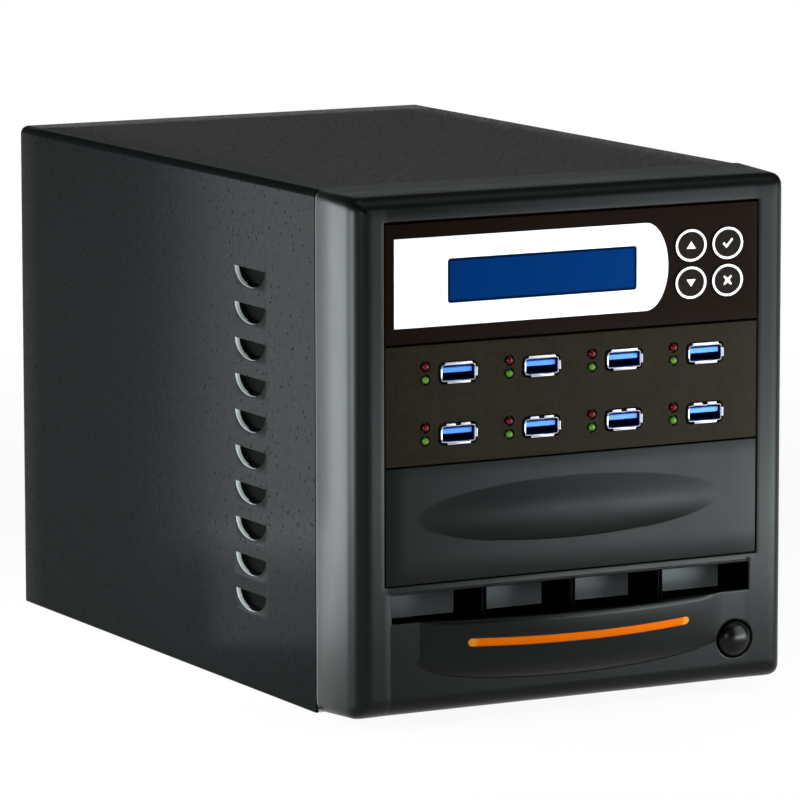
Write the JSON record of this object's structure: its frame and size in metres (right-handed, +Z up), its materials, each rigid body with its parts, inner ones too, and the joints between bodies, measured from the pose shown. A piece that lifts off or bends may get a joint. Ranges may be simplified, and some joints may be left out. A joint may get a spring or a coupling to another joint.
{
  "type": "usb flash drive duplicator",
  "caption": "Desktop duplicator box with stacked drive bays, a display and key panel, rows of USB ports with lamps, a recessed intake and a bulging chin with a light bar.",
  "frame": {"origin": "on the floor, under the middle of the machine's bounding box", "axes": "+X to the right seen from the front, +Y from the front to the rear, +Z up"},
  "size_m": [0.1718, 0.2864, 0.1855],
  "materials": {
    "cover": "fine textured black powder coat",
    "steel": "zinc plated sheet",
    "bezel": "fine grained charcoal moulding",
    "face": "satin black",
    "label": "white printed film",
    "display": "blue backlit display",
    "key": "dark cap with a white ring",
    "board": "lacquered circuit board",
    "port": "bright plated shell with a blue tongue",
    "red_lamp": "tinted clear lens",
    "green_lamp": "tinted clear lens",
    "bar": "translucent orange",
    "button": "glossy black",
    "housing": "black moulding",
    "plated": "bright plated steel",
    "rubber": "matt black"
  },
  "bodies": {
    "case": {"chassis_base": "steel", "top_cover": "cover", "rear_panel": "steel", "front_bezel": "bezel", "bay_rail_left": "steel", "bay_rail_right": "steel", "foot_front_left": "rubber", "foot_front_right": "rubber", "foot_rear_left": "rubber", "foot_rear_right": "rubber", "lcd_faceplate": "face", "label_overlay": "label", "lcd_window": "display", "lcd_module": "board", "key_board": "board", "usb_faceplate": "face", "usb_board": "board", "blank_bay_cover": "bezel", "light_bar": "bar", "power_switch_body": "housing", "usb_port_1": "port", "usb_port_2": "port", "usb_port_3": "port", "usb_port_4": "port", "usb_port_5": "port", "usb_port_6": "port", "usb_port_7": "port", "usb_port_8": "port", "led_red_1": "red_lamp", "led_green_1": "green_lamp", "led_red_2": "red_lamp", "led_green_2": "green_lamp", "led_red_3": "red_lamp", "led_green_3": "green_lamp", "led_red_4": "red_lamp", "led_green_4": "green_lamp", "led_red_5": "red_lamp", "led_green_5": "green_lamp", "led_red_6": "red_lamp", "led_green_6": "green_lamp", "led_red_7": "red_lamp", "led_green_7": "green_lamp", "led_red_8": "red_lamp", "led_green_8": "green_lamp", "controller_board": "board", "power_supply": "steel", "mains_inlet": "housing", "fan_frame": "housing", "fan_guard": "plated", "screw_left_low": "plated", "screw_left_high": "plated", "screw_right_low": "plated", "screw_right_high": "plated"},
    "key_up_body": {"key_up": "key"},
    "key_down_body": {"key_down": "key"},
    "key_ok_body": {"key_ok": "key"},
    "key_esc_body": {"key_esc": "key"},
    "power_button_body": {"power_button": "button"},
    "fan_rotor_body": {"fan_rotor": "housing"},
    "mains_rocker_body": {"mains_rocker": "button"}
  },
  "joints": [
    {"name": "key_up_press", "type": "slide", "parent": "case", "child": "key_up_body", "axis": [0, 1, 0], "range_m": [0, 0.0008], "stiffness_N_per_m": 400, "springref_m": -0.001},
    {"name": "key_down_press", "type": "slide", "parent": "case", "child": "key_down_body", "axis": [0, 1, 0], "range_m": [0, 0.0008], "stiffness_N_per_m": 400, "springref_m": -0.001},
    {"name": "key_ok_press", "type": "slide", "parent": "case", "child": "key_ok_body", "axis": [0, 1, 0], "range_m": [0, 0.0008], "stiffness_N_per_m": 400, "springref_m": -0.001},
    {"name": "key_esc_press", "type": "slide", "parent": "case", "child": "key_esc_body", "axis": [0, 1, 0], "range_m": [0, 0.0008], "stiffness_N_per_m": 400, "springref_m": -0.001},
    {"name": "power_button_press", "type": "slide", "parent": "case", "child": "power_button_body", "axis": [0, 1, 0], "range_m": [0, 0.003], "stiffness_N_per_m": 300, "springref_m": -0.001},
    {"name": "fan_spin", "type": "hinge", "parent": "case", "child": "fan_rotor_body", "pos_m": [-0.03, 0.12344, 0.133], "axis": [0, 1, 0], "continuous": true},
    {"name": "mains_rocker_tilt", "type": "hinge", "parent": "case", "child": "mains_rocker_body", "pos_m": [0.045, 0.13834, 0.06471], "axis": [1, 0, 0], "range_deg": [0, 16]}
  ]
}
